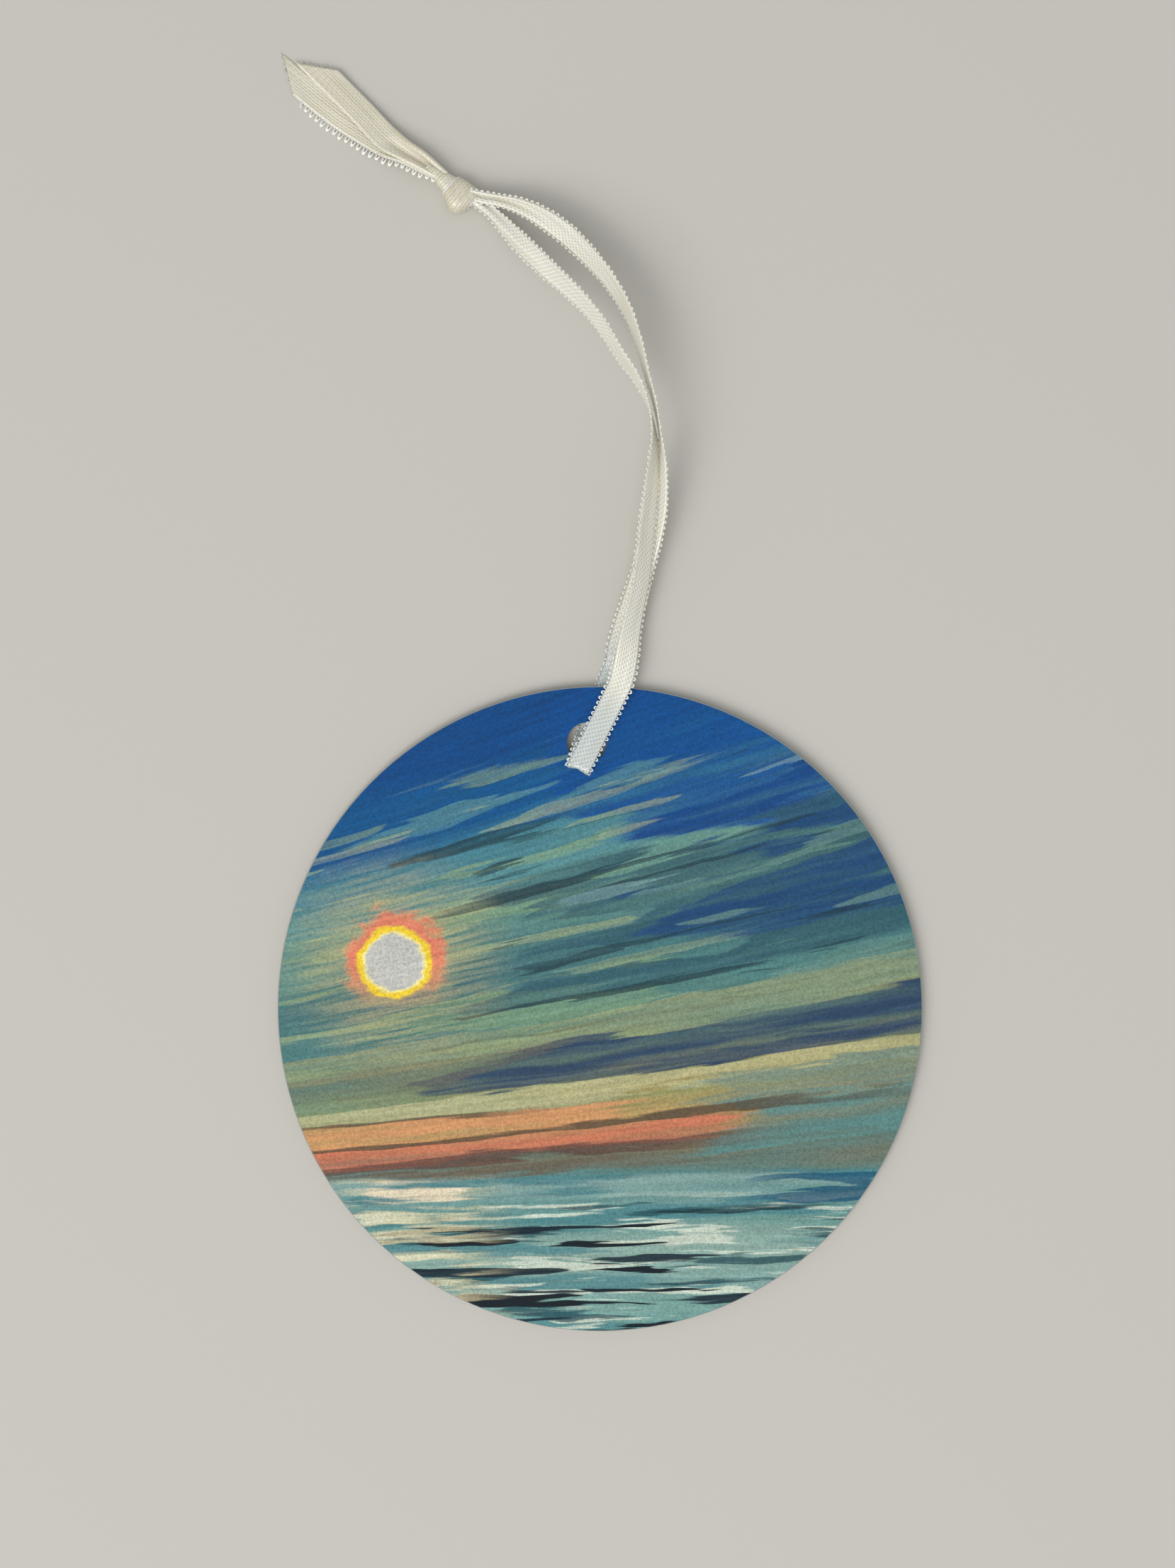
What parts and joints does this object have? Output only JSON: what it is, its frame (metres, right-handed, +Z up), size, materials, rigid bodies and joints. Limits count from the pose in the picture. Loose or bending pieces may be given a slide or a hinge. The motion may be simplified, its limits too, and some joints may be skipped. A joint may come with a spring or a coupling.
{
  "type": "christmas ornament",
  "caption": "Thin round printed ornament disc with a narrow satin ribbon looped through a hole near its rim and knotted.",
  "frame": {"origin": "under the disc's centre, on the surface the ornament lies on", "axes": "+Z up out of the printed face; +Y from the disc's centre towards the ribbon hole"},
  "size_m": [0.0762, 0.153, 0.0083],
  "materials": {
    "disc_metal": "satin sheet edge",
    "print": "printed coating, satin with fine orange peel",
    "coating": "plain white coating",
    "ribbon": "ivory satin weave with corded edges"
  },
  "bodies": {
    "disc": {"disc_core": "disc_metal", "front_print": "print", "back_coating": "coating"},
    "hanger": {"ribbon_front_run": "ribbon", "ribbon_back_run": "ribbon"},
    "loop": {"loop_front_strand": "ribbon", "loop_back_strand": "ribbon", "knot": "ribbon"},
    "tails": {"tail_upper": "ribbon", "tail_lower": "ribbon"}
  },
  "joints": [
    {"name": "ribbon_swivel", "type": "hinge", "parent": "disc", "child": "hanger", "pos_m": [0, 0.0315, 0.0009], "axis": [0, 0, 1], "range_deg": [-6, 58]},
    {"name": "loop_fold", "type": "hinge", "parent": "hanger", "child": "loop", "pos_m": [0.00475, 0.0415, 0.0011], "axis": [0.9397, -0.3419, 0], "range_deg": [-90, 90]},
    {"name": "tails_fold", "type": "hinge", "parent": "loop", "child": "tails", "pos_m": [-0.0159, 0.1008, 0.00115], "axis": [0.6822, 0.7312, 0], "range_deg": [-90, 90]}
  ]
}
